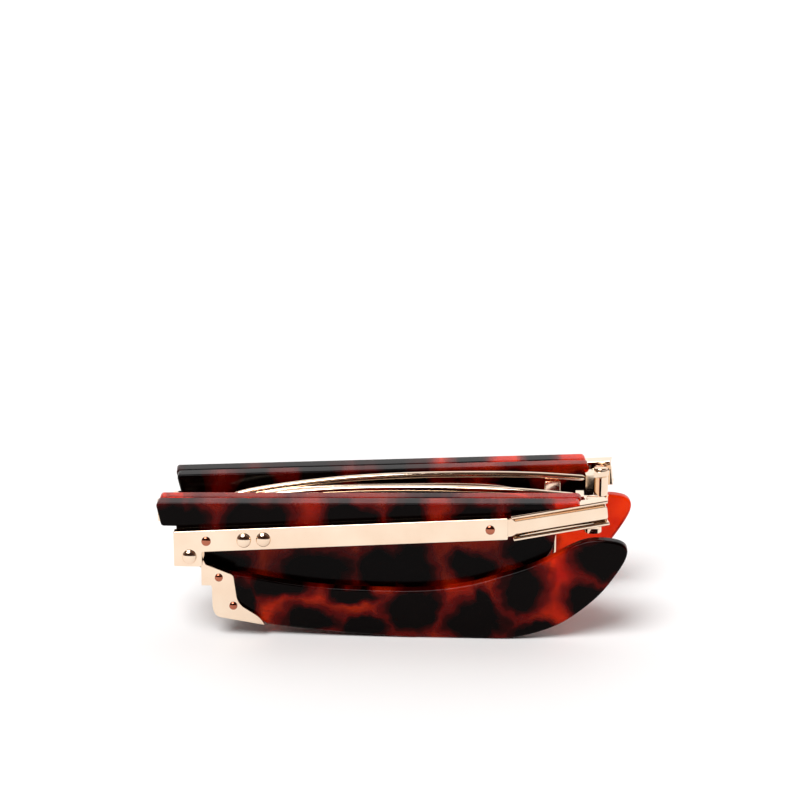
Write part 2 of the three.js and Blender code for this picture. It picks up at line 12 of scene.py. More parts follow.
import bmesh
import bpy
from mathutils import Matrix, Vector


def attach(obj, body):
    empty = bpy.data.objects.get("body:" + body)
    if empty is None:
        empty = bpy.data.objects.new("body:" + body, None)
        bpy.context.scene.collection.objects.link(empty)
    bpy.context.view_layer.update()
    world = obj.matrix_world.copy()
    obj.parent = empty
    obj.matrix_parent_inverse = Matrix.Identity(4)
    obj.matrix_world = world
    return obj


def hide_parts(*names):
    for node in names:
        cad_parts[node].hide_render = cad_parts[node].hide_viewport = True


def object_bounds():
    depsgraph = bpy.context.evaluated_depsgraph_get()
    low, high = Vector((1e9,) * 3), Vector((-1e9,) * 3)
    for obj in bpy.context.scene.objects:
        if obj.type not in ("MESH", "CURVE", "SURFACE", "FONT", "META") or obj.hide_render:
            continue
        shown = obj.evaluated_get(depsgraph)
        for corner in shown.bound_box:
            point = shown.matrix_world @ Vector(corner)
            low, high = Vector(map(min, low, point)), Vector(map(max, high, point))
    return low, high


MM = 0.001
SIDES = ("right", "left")

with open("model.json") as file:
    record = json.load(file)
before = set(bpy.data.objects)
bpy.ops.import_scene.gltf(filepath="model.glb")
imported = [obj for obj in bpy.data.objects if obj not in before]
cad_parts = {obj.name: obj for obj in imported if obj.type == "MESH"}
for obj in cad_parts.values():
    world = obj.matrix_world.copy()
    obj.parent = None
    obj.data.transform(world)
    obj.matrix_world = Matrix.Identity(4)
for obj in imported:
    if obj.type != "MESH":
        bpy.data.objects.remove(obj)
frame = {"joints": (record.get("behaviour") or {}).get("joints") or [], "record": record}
cad_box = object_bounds()
record = frame["record"]
joints = {joint["name"]: joint for joint in frame["joints"]}
body_of = {node: body for body, nodes in record["behaviour"]["bodies"].items() for node in nodes}
slot_of = {part["node"]: part["material_slot"] for part in record["subparts"]}

# ---------- sizes of one half, as in the CAD part ----------
PIN_X, PIN_DEPTH = -36.8, 1.4
EYE_RADIUS, PIN_RADIUS = 1.2, 0.5
ARM_BOTTOM, ARM_TOP = 16.9, 20.3
LINK_BOTTOM, LINK_TOP = 18, 19.2

FRONT_DEPTH = 1.4
LENS_X, LENS_HALF_WIDTH, LENS_HALF_HEIGHT, LENS_SQUARENESS = -2.65, 26.35, 9.85, 4
RIM_WIDTH, RIM_THICKNESS, GROOVE_DEPTH = 0.95, 1.3, 0.4
LENS_Z = LENS_HALF_HEIGHT + RIM_WIDTH
BROW_RADIUS = 0.5
BROW_ROUTE = [
    (-31.5, 17.9), (-27.2, 20.1), (-20, 21.4), (-10, 22.45), (0, 22.9), (10, 22.95), (20, 22.7), (29.2, 22),
]

HINGE_X, HINGE_DEPTH = 32.1, 4.2
EAR_RADIUS, KNUCKLE_RADIUS, HINGE_SCREW_RADIUS = 1.35, 1.25, 0.6
EAR_BOTTOM, EAR_TOP, EAR_HEIGHT = 17.1, 22.5, 0.85

LINER_DEPTH, LINER_THICKNESS = 3.9, 2.55
SLAB_DEPTH, SLAB_THICKNESS = 6.5, 2.75
TEMPLE_TOP_LEFT, TEMPLE_TOP_RIGHT = 22.6, 23.5
BAR_DEPTH, BAR_THICKNESS, BAR_HEIGHT, BAR_END_X = 9.3, 1.5, 3.6, 18.6
BAR_FACE = BAR_DEPTH + BAR_THICKNESS
BAR_START_Z, BAR_RISE = 16.8, math.radians(3.35)
PLATE_LEFT, PLATE_RIGHT, PLATE_BOTTOM = -34.4, -29.9, 12.5
CHANNEL_LENGTH, CHANNEL_HEIGHT, CHANNEL_BACK, CHANNEL_FRONT = 16, 4.2, -0.55, 1.65
CHANNEL_WALL = 0.5
CHANNEL_TURN, CHANNEL_RISE = math.radians(12.5), math.radians(6.3)

PIVOT_X, PIVOT_Z, PIVOT_SHANK, PIVOT_HEAD = -31.9, 14.2, 0.7, 1.15
TIP_DEPTH, TIP_THICKNESS = 6.6, 2.0
BRACKET_DEPTH, BRACKET_THICKNESS = 8.65, 0.6
NECK_RADIUS, NECK_CLEARANCE = 2.2, 0.4
PAD_X, PAD_DEPTH, PAD_Z = -29.2, 3.15, 13.9

# ---------- places of the turning axes, and small gaps ----------
PIN_SPOT = (PIN_X, PIN_DEPTH)
HINGE_SPOT = (HINGE_X, HINGE_DEPTH)
PIVOT_SPOT = (PIVOT_X, PIVOT_Z)
RUNNING_GAP = 0.05                   # between a pin and the hole that it turns in
SEAT_GAP = 0.03                      # between a head and the face that it stands on
SOLDER_OVERLAP = 0.08                # how far the parts soldered to a rim run into it
LENS_EDGE_GAP = 0.08                 # between the lens's edge and the bottom of the rim's groove
BELOW_HINGES, ABOVE_HINGES = 10, 30  # heights that lie outside every piece with an upright hole
PAST_THE_BAR = 12                    # a depth outside the outermost metal face


class Half:
    """One half of the folded glasses, placed by its bridge pin and by the axis of its tip pivot."""

    def __init__(self, side):
        self.side = side
        self.outwards = -1 if side == "right" else 1
        self.pin = Vector(joints[f"bridge_fold_{side}"]["pos_m"])
        across = Vector(joints[f"{side}_tip_pivot"]["axis"]).normalized()
        self.across = across * self.outwards
        self.along = Vector((across.y, -across.x, 0))

    def place(self, x, depth, z):
        spot = self.pin + self.along * ((x - PIN_X) * MM) + self.across * ((depth - PIN_DEPTH) * MM)
        return Vector((spot.x, spot.y, z * MM))


class RowFrame:
    """Stands in for a half where a piece is drawn straight in the row frame."""

    def place(self, x, depth, z):
        return Vector((x, depth, z)) * MM


# ---------- outlines ----------
class Outline:
    """A closed outline drawn in two dimensions from straight lines, curves and splines."""

    def __init__(self, u, v):
        self.points = [(u, v)]

    def line(self, u, v):
        self.points.append((u, v))
        return self

    def curve(self, bend_u, bend_v, u, v, steps=8):
        start_u, start_v = self.points[-1]
        for step in range(1, steps + 1):
            t = step / steps
            a, b, c = (1 - t) ** 2, 2 * t * (1 - t), t * t
            self.points.append((a * start_u + b * bend_u + c * u, a * start_v + b * bend_v + c * v))
        return self

    def spline(self, through, steps=10):
        self.points += catmull_rom([self.points[-1], *through], steps)[1:]
        return self


def between(t, a, b, c, d):
    """The Catmull-Rom value a share t of the way from b to c, with a before them and d after."""
    square, cube = 2 * a - 5 * b + 4 * c - d, 3 * b - a - 3 * c + d
    return 0.5 * (2 * b + (c - a) * t + square * t * t + cube * t ** 3)


def catmull_rom(through, steps):
    """Points on a smooth curve that passes through all the given points."""
    made = [tuple(through[0])]
    last = len(through) - 1
    for index in range(last):
        p0, p1 = through[max(index - 1, 0)], through[index]
        p2, p3 = through[index + 1], through[min(index + 2, last)]
        for step in range(1, steps + 1):
            t = step / steps
            made.append(tuple(between(t, *four) for four in zip(p0, p1, p2, p3)))
    return made


def circle(u, v, radius, sides=48):
    turn = 2 * math.pi / sides
    return [(u + radius * math.cos(turn * k), v + radius * math.sin(turn * k)) for k in range(sides)]


def rectangle(u0, v0, u1, v1):
    return [(u0, v0), (u1, v0), (u1, v1), (u0, v1)]


def soften(points, radius, steps=4):
    """Rounds the corners of an outline that turn by more than 20 degrees."""
    made = []
    for index, corner in enumerate(points):
        before, here = Vector(points[index - 1]), Vector(corner)
        after = Vector(points[(index + 1) % len(points)])
        inward, outward = here - before, after - here
        turn = abs(inward.angle_signed(outward)) if inward.length and outward.length else 0
        if turn < math.radians(20):
            made.append(tuple(here))
            continue
        reach = min(radius * math.tan(turn / 2), inward.length * 0.45, outward.length * 0.45)
        start, end = here - inward.normalized() * reach, here + outward.normalized() * reach
        for step in range(steps + 1):
            t = step / steps
            made.append(tuple((1 - t) ** 2 * start + 2 * t * (1 - t) * here + t * t * end))
    return made


def counter_clockwise(points):
    area = sum(a[0] * b[1] - b[0] * a[1] for a, b in zip(points, points[1:] + points[:1]))
    return points if area > 0 else points[::-1]


def inset(points, distance):
    """The outline moved inwards by the distance, with mitred corners."""
    made = []
    for index, corner in enumerate(points):
        here = Vector(corner)
        before = (here - Vector(points[index - 1])).normalized()
        after = (Vector(points[(index + 1) % len(points)]) - here).normalized()
        normal = Vector((-before.y - after.y, before.x + after.x)).normalized()
        stretch = max(0.5, normal.dot(Vector((-before.y, before.x))))
        made.append(tuple(here + normal * (distance / stretch)))
    return made


def lens_outline(grow=0, steps=240):
    """A superellipse, with a closer spacing of points where it bends."""
    points = []
    power = 2 / LENS_SQUARENESS
    for step in range(steps):
        angle = 2 * math.pi * step / steps
        across, up = math.cos(angle), math.sin(angle)
        u = (LENS_HALF_WIDTH + grow) * math.copysign(abs(across) ** power, across)
        v = (LENS_HALF_HEIGHT + grow) * math.copysign(abs(up) ** power, up)
        points.append((LENS_X + u, LENS_Z + v))
    return points


# ---------- ways to map a drawn (u, v, w) to (x, depth, z) ----------
def facing(u, v, w):
    """A plate that faces outwards: u is x, v is z and w is depth."""
    return u, w, v


def upright(u, v, w):
    """A piece drawn in plan: u is x, v is depth and w is z."""
    return u, v, w


def bar_middle(x):
    return BAR_START_Z + (x - PLATE_RIGHT) * math.tan(BAR_RISE)


def along_channel(u, v, w):
    """The hinge channel's frame: u from the bar's end, v up, w outwards from the bar's inner face."""
    x = u * math.cos(CHANNEL_RISE) - v * math.sin(CHANNEL_RISE)
    z = u * math.sin(CHANNEL_RISE) + v * math.cos(CHANNEL_RISE)
    turned_x = x * math.cos(CHANNEL_TURN) + w * math.sin(CHANNEL_TURN)
    turned_depth = w * math.cos(CHANNEL_TURN) - x * math.sin(CHANNEL_TURN)
    return BAR_END_X + turned_x, BAR_DEPTH + turned_depth, bar_middle(BAR_END_X) + z


def across_channel(u, v, w):
    """The same frame, for a section in v up and w outwards that is carried along the channel."""
    return along_channel(w, v, u)


# ---------- mesh tools ----------
def mesh_object(name, points, faces):
    mesh = bpy.data.meshes.new(name)
    mesh.from_pydata(points, [], faces)
    tidy = bmesh.new()
    tidy.from_mesh(mesh)
    bmesh.ops.remove_doubles(tidy, verts=tidy.verts, dist=1e-7)
    bmesh.ops.recalc_face_normals(tidy, faces=tidy.faces)
    tidy.to_mesh(mesh)
    tidy.free()
    made = bpy.data.objects.new(name, mesh)
    bpy.context.scene.collection.objects.link(made)
    return made


def loft(rings, closed=False):
    """Points and faces of a skin over rings of equal length, with end caps unless it closes on itself."""
    count = len(rings[0])
    points = [point for ring in rings for point in ring]
    faces = []
    for row in range(len(rings) if closed else len(rings) - 1):
        here, there = row * count, (row + 1) % len(rings) * count
        for k in range(count):
            following = (k + 1) % count
            faces.append((here + k, here + following, there + following, there + k))
    if not closed:
        faces.append(tuple(range(count))[::-1])
        faces.append(tuple(range((len(rings) - 1) * count, len(rings) * count)))
    return points, faces


def prism(half, outline, low, high, edge=0.0, mapping=facing, steps=4):
    """An outline carried from low to high, with rounded edges where edge is given."""
    outline = counter_clockwise(outline)
    if edge:
        bends = [math.pi / 2 * step / steps for step in range(steps + 1)]
        lower = [(edge * (1 - math.sin(bend)), low + edge * (1 - math.cos(bend))) for bend in bends]
        upper = [(inwards, high - (w - low)) for inwards, w in reversed(lower)]
        levels = lower + upper
    else:
        levels = [(0, low), (0, high)]
    rings = []
    for inwards, w in levels:
        ring = inset(outline, inwards) if inwards else outline
        rings.append([half.place(*mapping(u, v, w)) for u, v in ring])
    return mesh_object("prism", *loft(rings))


def turned(half, profile, centre, mapping):
    """A round piece: profile points are (radius, w), turned round the w axis through centre."""
    rings = []
    for radius, w in profile:
        ring = circle(*centre, max(radius, 1e-4))
        rings.append([half.place(*mapping(u, v, w)) for u, v in ring])
    return mesh_object("turned", *loft(rings))


def rod(half, radius, low, high, centre, mapping=facing):
    return turned(half, [(radius, low), (radius, high)], centre, mapping)


def upright_hole(half, pin_radius, centre):
    """The rod that cuts a hole for an upright pin through any piece."""
    return rod(half, pin_radius + RUNNING_GAP, BELOW_HINGES, ABOVE_HINGES, centre, upright)


def facing_hole(half, radius, spot, inner=0):
    """The rod that cuts a hole from an inner depth out through every layer."""
    return rod(half, radius, inner, PAST_THE_BAR, spot)


def sweep(half, route, radius, sides=16):
    """A round wire along a route of (x, depth, z) points."""
    centres = [half.place(*point) for point in route]
    side_way = None
    rings = []
    for index, centre in enumerate(centres):
        ahead = centres[min(index + 1, len(centres) - 1)] - centres[max(index - 1, 0)]
        ahead.normalize()
        if side_way is None:
            side_way = ahead.cross(half.across).normalized()
        side_way = (side_way - ahead * side_way.dot(ahead)).normalized()
        up_way = ahead.cross(side_way)
        shrink = 0.6 if index in (0, len(centres) - 1) else 1
        ring = circle(0, 0, radius * MM * shrink, sides)
        rings.append([centre + side_way * a + up_way * b for a, b in ring])
    return mesh_object("wire", *loft(rings))


def carve(piece, *others, operation="DIFFERENCE"):
    """Cuts the others from the piece, or joins them to it, and removes them."""
    for other in others:
        modifier = piece.modifiers.new("carve", "BOOLEAN")
        modifier.operation = operation
        modifier.solver = "EXACT"
        modifier.object = other
    bpy.context.view_layer.update()
    evaluated = piece.evaluated_get(bpy.context.evaluated_depsgraph_get())
    made = bpy.data.meshes.new_from_object(evaluated)
    piece.modifiers.clear()
    piece.data = made
    for other in others:
        bpy.data.objects.remove(other)
    return piece


def unite(piece, *others):
    return carve(piece, *others, operation="UNION")


def soft_edges(piece, width):
    """Rounds the edges that a cut or a join has left sharp."""
    modifier = piece.modifiers.new("edges", "BEVEL")
    modifier.width = width * MM
    modifier.segments = 3
    modifier.limit_method = "ANGLE"
    modifier.angle_limit = math.radians(40)
    modifier.use_clamp_overlap = True
    return piece


def rim_stock(half):
    """The space just inside the rim's outer edge, to trim the parts that are soldered to it."""
    outline = lens_outline(RIM_WIDTH - SOLDER_OVERLAP, 120)
    return prism(half, outline, FRONT_DEPTH - 2, FRONT_DEPTH + 2)


# ---------- half-front ----------
def make_rim(half):
    depth, edge, groove = RIM_THICKNESS / 2, 0.3, 0.46
    section = soften([
        (0, -depth), (RIM_WIDTH, -depth), (RIM_WIDTH, depth), (0, depth),
        (0, groove), (GROOVE_DEPTH, groove * 0.8), (GROOVE_DEPTH, -groove * 0.8), (0, -groove),
    ], edge)
    outline = lens_outline()
    rings = []
    for grow, outwards in section:
        ring = inset(counter_clockwise(outline), -grow)
        rings.append([half.place(u, FRONT_DEPTH + outwards, v) for u, v in ring])
    return mesh_object("rim", *loft(rings, closed=True))


def make_lens(half):
    """A clear lens, a little domed on both faces, with its edge in the rim's groove."""
    edge_half, bulge = 0.3, 0.3
    outline = lens_outline(GROOVE_DEPTH - LENS_EDGE_GAP)
    shares = [0.02, 0.1, 0.2, 0.3, 0.4, 0.5, 0.6, 0.7, 0.8, 0.88, 0.94, 0.975, 0.995, 1]
    levels = [(share, -edge_half - bulge * (1 - share ** 2)) for share in shares]
    levels += [(share, -depth) for share, depth in reversed(levels)]
    rings = []
    for share, outwards in levels:
        rings.append([
            half.place(LENS_X + (u - LENS_X) * share, FRONT_DEPTH + outwards, LENS_Z + (v - LENS_Z) * share)
            for u, v in outline
        ])
    return mesh_object("lens", *loft(rings))


def make_brow_wire(half):
    route = [(x, FRONT_DEPTH, z) for x, z in catmull_rom(BROW_ROUTE, 12)]
    return carve(sweep(half, route, BROW_RADIUS, 20), rim_stock(half))


def make_bridge_arm(half):
    eye = rod(half, EYE_RADIUS, ARM_BOTTOM, ARM_TOP, PIN_SPOT, upright)
    bar = prism(half, rectangle(PIN_X, 0.75, -26, 2.05), ARM_BOTTOM, ARM_TOP, 0.15, upright)
    slot = prism(half, rectangle(-40, -1, -34.4, 4), LINK_BOTTOM - 0.1, LINK_TOP + 0.1, mapping=upright)
    hole = upright_hole(half, PIN_RADIUS, PIN_SPOT)
    arm = unite(eye, bar)
    return soft_edges(carve(arm, slot, hole, rim_stock(half)), 0.12)


def make_bridge_pin(half):
    low, high, head = ARM_BOTTOM - 0.04, ARM_TOP + 0.04, 0.85
    profile = [
        (0, low - 0.32), (head * 0.6, low - 0.3), (head * 0.92, low - 0.2), (head, low - 0.08), (head, low),
        (PIN_RADIUS, low), (PIN_RADIUS, high), (head, high), (head, high + 0.08), (head * 0.92, high + 0.2),
        (head * 0.6, high + 0.3), (0, high + 0.32),
    ]
    return turned(half, profile, PIN_SPOT, upright)


def make_closing_block(half):
    body = prism(half, soften(rectangle(22.6, 17.6, 25.2, 21.7), 0.35), 0.7, 2.1, 0.15)
    return carve(body, rim_stock(half))


def make_closing_screw(half):
    face, head = 2.14, 0.6
    profile = [
        (0, face - 0.8), (0.35, face - 0.8), (0.35, face), (head, face), (head, face + 0.1),
        (head * 0.85, face + 0.24), (head * 0.5, face + 0.33), (0, face + 0.35),
    ]
    screw = turned(half, profile, (23.9, 20.1), facing)
    slot = prism(half, rectangle(22, 20.02, 26, 20.18), face + 0.18, face + 1)
    return carve(screw, slot)


def make_end_piece(half):
    left, right = 29.3, 30.6
    wall = prism(half, rectangle(left, 0.75, right, 3.6), EAR_BOTTOM, EAR_TOP + 0.2, mapping=upright)
    for bottom in (EAR_BOTTOM, EAR_TOP - EAR_HEIGHT):
        ear = rod(half, EAR_RADIUS, bottom, bottom + EAR_HEIGHT, HINGE_SPOT, upright)
        tab_outline = [(left, 2.2), (HINGE_X - 0.2, 2.6), (HINGE_X + 0.7, 3.2), (HINGE_X, 4), (left, 3.6)]
        tab = prism(half, tab_outline, bottom, bottom + EAR_HEIGHT, mapping=upright)
        wall = unite(wall, unite(ear, tab))
    hole = upright_hole(half, HINGE_SCREW_RADIUS, HINGE_SPOT)
    return soft_edges(carve(wall, hole), 0.14)


def make_hinge_screw(half):
    head, top = 1.15, EAR_TOP + 0.05
    profile = [
        (0, EAR_BOTTOM - 0.04), (HINGE_SCREW_RADIUS, EAR_BOTTOM), (HINGE_SCREW_RADIUS, top), (head, top),
        (head, top + 0.14), (head * 0.93, top + 0.28), (head * 0.75, top + 0.37), (0, top + 0.4),
    ]
    screw = turned(half, profile, HINGE_SPOT, upright)
    slot_outline = rectangle(HINGE_X - 2, HINGE_DEPTH - 0.16, HINGE_X + 2, HINGE_DEPTH + 0.16)
    return carve(screw, prism(half, slot_outline, top + 0.17, top + 1, mapping=upright))


def make_pad_arm(half):
    cup = 2.3
    route = catmull_rom([
        (-30.3, 1.4, 16.2), (-31.1, 1.7, 15.7), (-30.6, cup - 0.12, 14.8), (PAD_X, cup + 0.03, PAD_Z),
    ], 8)
    plate_outline = soften(rectangle(PAD_X - 1, PAD_Z - 1.3, PAD_X + 1, PAD_Z + 1.3), 0.5)
    arm = unite(prism(half, plate_outline, cup, cup + 0.25, 0.06), sweep(half, route, 0.25))
    return carve(arm, rim_stock(half))


def make_nose_pad(half):
    """A soft D-shaped pad: fuller at its foot, with a rounded edge all round."""
    steps, rings = 14, []
    for step in range(steps + 1):
        bend = math.pi * step / steps
        reach, outwards = max(math.sin(bend), 1e-3) ** 0.6, -0.45 * math.cos(bend)
        ring = []
        for u, v in circle(0, 0, 1, 64):
            wide = 2.3 * (1 - 0.16 * v) * reach * 0.97
            ring.append(half.place(PAD_X + u * wide, PAD_DEPTH + outwards, PAD_Z + v * 4.2 * reach))
        rings.append(ring)
    return mesh_object("pad", *loft(rings))


# ---------- temple ----------
def fastener_spot(x, rise):
    return x, bar_middle(x) + rise


FASTENERS = {
    "rear_bar_rivet": (fastener_spot(-29.2, 0), 0.75, 0.34),
    "front_bar_rivet": (fastener_spot(15.8, 0), 0.75, 0.34),
    "rear_slab_screw": (fastener_spot(-23.2, -0.1), 1.18, 0.68),
    "front_slab_screw": (fastener_spot(-20.1, -0.1), 1.18, 0.68),
}
BRACKET_RIVETS = {"upper_bracket_rivet": (-27.45, 10.1), "lower_bracket_rivet": (-25.2, 5.3)}


def domed(half, spot, radius, dome, face, depth, shank):
    """A domed head standing on a face, on a shank that goes inwards."""
    profile = [(0, face - depth), (shank, face - depth), (shank, face), (radius, face), (radius, face + 0.04)]
    steps = 10
    for step in range(1, steps + 1):
        bend = math.pi / 2 * step / steps
        profile.append((radius * math.cos(bend), face + 0.06 + dome * math.sin(bend)))
    return turned(half, profile, spot, facing)


def make_temple_bar(half):
    middle, rise = BAR_HEIGHT / 2, bar_middle
    outline = soften([
        (PLATE_LEFT, PLATE_BOTTOM), (PLATE_RIGHT, PLATE_BOTTOM), (PLATE_RIGHT, rise(PLATE_RIGHT) - middle),
        (BAR_END_X, rise(BAR_END_X) - middle), (BAR_END_X, rise(BAR_END_X) + middle),
        (PLATE_LEFT, rise(PLATE_LEFT) + middle),
    ], 0.22)
    bar = prism(half, outline, BAR_DEPTH, BAR_FACE, 0.12)
    floor = CHANNEL_BACK + CHANNEL_WALL + 0.1
    tongue_outline = soften([
        (-0.6, -1.5), (0.6, -1.5), (1, -1.25), (CHANNEL_LENGTH, -1.28), (CHANNEL_LENGTH, 0.85), (1, 0.95),
        (0.6, 1.5), (-0.6, 1.5),
    ], 0.4)
    tongue = prism(half, tongue_outline, floor, floor + 0.85, 0.1, along_channel)
    holes = [facing_hole(half, PIVOT_SHANK + RUNNING_GAP, PIVOT_SPOT)]
    holes += [facing_hole(half, radius * 0.6, spot) for spot, radius, _ in FASTENERS.values()]
    return carve(unite(bar, tongue), *holes)


def make_hinge_channel(half):
    low, high, wall = -CHANNEL_HEIGHT / 2, CHANNEL_HEIGHT / 2, CHANNEL_WALL
    section = soften([
        (CHANNEL_BACK, low), (CHANNEL_FRONT, low), (CHANNEL_FRONT, low + wall),
        (CHANNEL_BACK + wall, low + wall), (CHANNEL_BACK + wall, high - wall),
        (CHANNEL_FRONT, high - wall), (CHANNEL_FRONT, high), (CHANNEL_BACK, high),
    ], 0.2)
    body = prism(half, section, 0.4, CHANNEL_LENGTH, 0.1, across_channel)
    bottom, top = EAR_BOTTOM + EAR_HEIGHT + 0.1, EAR_TOP - EAR_HEIGHT - 0.1
    root_outline = rectangle(HINGE_X - 1, HINGE_DEPTH, HINGE_X + 1, HINGE_DEPTH + 1.9)
    root = prism(half, root_outline, bottom + 0.02, top - 0.02, 0.1, upright)
    knuckle = turned(half, [
        (0, bottom), (KNUCKLE_RADIUS - 0.15, bottom), (KNUCKLE_RADIUS, bottom + 0.15),
        (KNUCKLE_RADIUS, top - 0.15), (KNUCKLE_RADIUS - 0.15, top), (0, top),
    ], HINGE_SPOT, upright)
    hole = upright_hole(half, HINGE_SCREW_RADIUS, HINGE_SPOT)
    return carve(unite(body, root, knuckle), hole)


def make_hinge_spring(half):
    floor = -CHANNEL_HEIGHT / 2 + CHANNEL_WALL + 0.04
    back = CHANNEL_BACK + CHANNEL_WALL + 0.1
    outline = Outline(1.5, floor).line(13.5, floor).line(13.5, floor + 0.12)
    outline.curve(7.5, floor + 0.4, 1.5, floor + 0.12)
    return prism(half, outline.points, back, back + 1.2, mapping=along_channel)


def channel_room(half):
    """The pocket in the two plastic layers that the hinge channel lies in."""
    reach = CHANNEL_HEIGHT / 2 + 0.12
    outline = rectangle(-0.3, -reach, CHANNEL_LENGTH + 6, reach)
    return prism(half, outline, CHANNEL_BACK - 0.12, 6, mapping=along_channel)


def temple_top(outline, right, left):
    """The top edge that both plastic layers share, from the hinge end to the bridge end."""
    outline.line(right, TEMPLE_TOP_RIGHT - 0.8)
    outline.curve(right - 0.1, TEMPLE_TOP_RIGHT, right - 0.8, TEMPLE_TOP_RIGHT)
    outline.line(left + 0.7, TEMPLE_TOP_LEFT)
    return outline.curve(left, TEMPLE_TOP_LEFT, left + 0.1, TEMPLE_TOP_LEFT - 0.7)


def make_temple_slab(half):
    def behind_bar(x):
        return bar_middle(x) - BAR_HEIGHT / 2 + 0.4

    outline = Outline(PLATE_LEFT + 0.3, 18.7).line(PLATE_LEFT + 0.3, 17.5).line(PIVOT_X, 17.2)
    outline.line(PIVOT_X, behind_bar(PIVOT_X)).line(30, behind_bar(30))
    temple_top(outline, 30, -37.3).line(-36.6, 19.2).curve(-36.5, 18.7, -36, 18.7)
    body = prism(half, outline.points, SLAB_DEPTH, SLAB_DEPTH + SLAB_THICKNESS, 0.28)
    neck_room = facing_hole(half, NECK_RADIUS + NECK_CLEARANCE, PIVOT_SPOT)
    return carve(body, neck_room, channel_room(half))


def make_temple_liner(half):
    outline = Outline(PLATE_LEFT + 0.3, 18.9).line(PLATE_LEFT + 0.3, 14.4).curve(-34, 12.6, -32.4, 12.5)
    outline.spline([
        (-30.4, 11.9), (-28.6, 9.4), (-22, 7.4), (-9, 6.1), (3.4, 6.1), (14, 7.6), (22.5, 11.4),
    ])
    outline.curve(25.9, 13.4, 26.1, 16.6).curve(26.2, 17.6, 27.4, 17.7)
    outline.line(29.4, 17.9).curve(30.2, 18, 30.2, 18.8)
    temple_top(outline, 30.2, -37.1).line(-36.4, 19.3).curve(-36.3, 18.9, -35.9, 18.9)
    body = prism(half, outline.points, LINER_DEPTH, LINER_DEPTH + LINER_THICKNESS, 0.35)
    hole = facing_hole(half, PIVOT_SHANK + RUNNING_GAP, PIVOT_SPOT, LINER_DEPTH + 0.6)
    return carve(body, hole, channel_room(half))


# ---------- temple tip ----------
def bracket_holes(half, inner):
    holes = [facing_hole(half, PIVOT_SHANK + RUNNING_GAP, PIVOT_SPOT)]
    return holes + [facing_hole(half, 0.4, spot, inner) for spot in BRACKET_RIVETS.values()]


def make_temple_tip(half):
    outline = Outline(4, 0).line(17, 0).spline([
        (19.5, 0.2), (23.5, 1.2), (27.7, 3.1), (32.1, 6.6), (35, 10), (37.4, 14.2), (36.9, 16.4),
        (33.3, 17.1), (29.7, 16.4), (23.5, 13), (17.7, 10.8), (11.5, 9), (3.4, 8.1), (-8.9, 8.3),
        (-16.1, 9), (-22.4, 10), (-25.9, 10.4),
    ])
    outline.line(-29.3, 12).line(-29.8, 11).line(-28.35, 8.4).line(-28.35, 5.2)
    outline.curve(-28.2, 3.8, -27.05, 3.45)
    outline.line(-20.3, 2.25).line(-19.9, 1.9).curve(-8, 0.35, 4, 0, 20)
    body = prism(half, outline.points, TIP_DEPTH, TIP_DEPTH + TIP_THICKNESS, 0.42, steps=5)
    neck = Outline(-27.6, 10.9).line(-29.55, 12.1).line(PIVOT_X + 0.6, PIVOT_Z + 1.5)
    neck.line(PIVOT_X - 1, PIVOT_Z - 1.5).line(-29.95, 11.35).line(-28.7, 9.3)
    root = prism(half, neck.points, TIP_DEPTH + 0.03, TIP_DEPTH + TIP_THICKNESS - 0.03)
    eye = rod(half, NECK_RADIUS - 0.1, TIP_DEPTH, TIP_DEPTH + TIP_THICKNESS, PIVOT_SPOT)
    return carve(unite(body, root, eye), *bracket_holes(half, TIP_DEPTH + 0.5))


def make_tip_bracket(half):
    outline = Outline(PIVOT_X - 1.2, PIVOT_Z - 1.6).line(-30.25, 11.9).line(-30.25, 8.7).line(-28.6, 8.7)
    outline.line(-28.55, 5.1).curve(-28.4, 3.5, -27.25, 3.25).line(-20.2, 2.05).curve(-20.6, 3.1, -21.6, 3.8)
    outline.line(-23.6, 5.1).curve(-24.6, 6, -24.7, 7.1).line(-25.1, 10.2).curve(-25.2, 10.6, -25.6, 10.75)
    outline.line(-29.5, 12.3).line(PIVOT_X + 1, PIVOT_Z + 1)
    face = BRACKET_DEPTH + BRACKET_THICKNESS
    body = prism(half, soften(outline.points, 0.12, 2), BRACKET_DEPTH, face, 0.08, steps=3)
    neck = rod(half, NECK_RADIUS, BRACKET_DEPTH, face, PIVOT_SPOT)
    return carve(unite(body, neck), *bracket_holes(half, 0))


# ---------- materials ----------
def material_base(name):
    material = bpy.data.materials.new(name)
    material.use_nodes = True
    nodes, links = material.node_tree.nodes, material.node_tree.links
    shader = next(node for node in nodes if node.type == "BSDF_PRINCIPLED")
    place = nodes.new("ShaderNodeTexCoord").outputs["Object"]
    return material, nodes, links, shader, place


def noise_on(nodes, links, place, scale, detail=2.0, roughness=0.5, distortion=0.0):
    noise = nodes.new("ShaderNodeTexNoise")
    noise.inputs["Scale"].default_value = scale
    noise.inputs["Detail"].default_value = detail
    noise.inputs["Roughness"].default_value = roughness
    noise.inputs["Distortion"].default_value = distortion
    links.new(place, noise.inputs["Vector"])
    return noise.outputs["Fac"]


def ramp_on(nodes, links, value, stops):
    """A colour ramp: stops are (position, colour) with the colour as three numbers or one grey."""
    ramp = nodes.new("ShaderNodeValToRGB")
    elements = ramp.color_ramp.elements
    while len(elements) < len(stops):
        elements.new(0.5)
    for element, (position, colour) in zip(elements, stops):
        element.position = position
        red, green, blue = colour if isinstance(colour, tuple) else (colour,) * 3
        element.color = (red, green, blue, 1)
    links.new(value, ramp.inputs["Fac"])
    return ramp.outputs["Color"]


def bump_on(nodes, links, shader, height, strength):
    """A ripple 0.02 mm high on the shader's surface."""
    bump = nodes.new("ShaderNodeBump")
    bump.inputs["Strength"].default_value = strength
    bump.inputs["Distance"].default_value = 0.02 * MM
    links.new(height, bump.inputs["Height"])
    links.new(bump.outputs["Normal"], shader.inputs["Normal"])


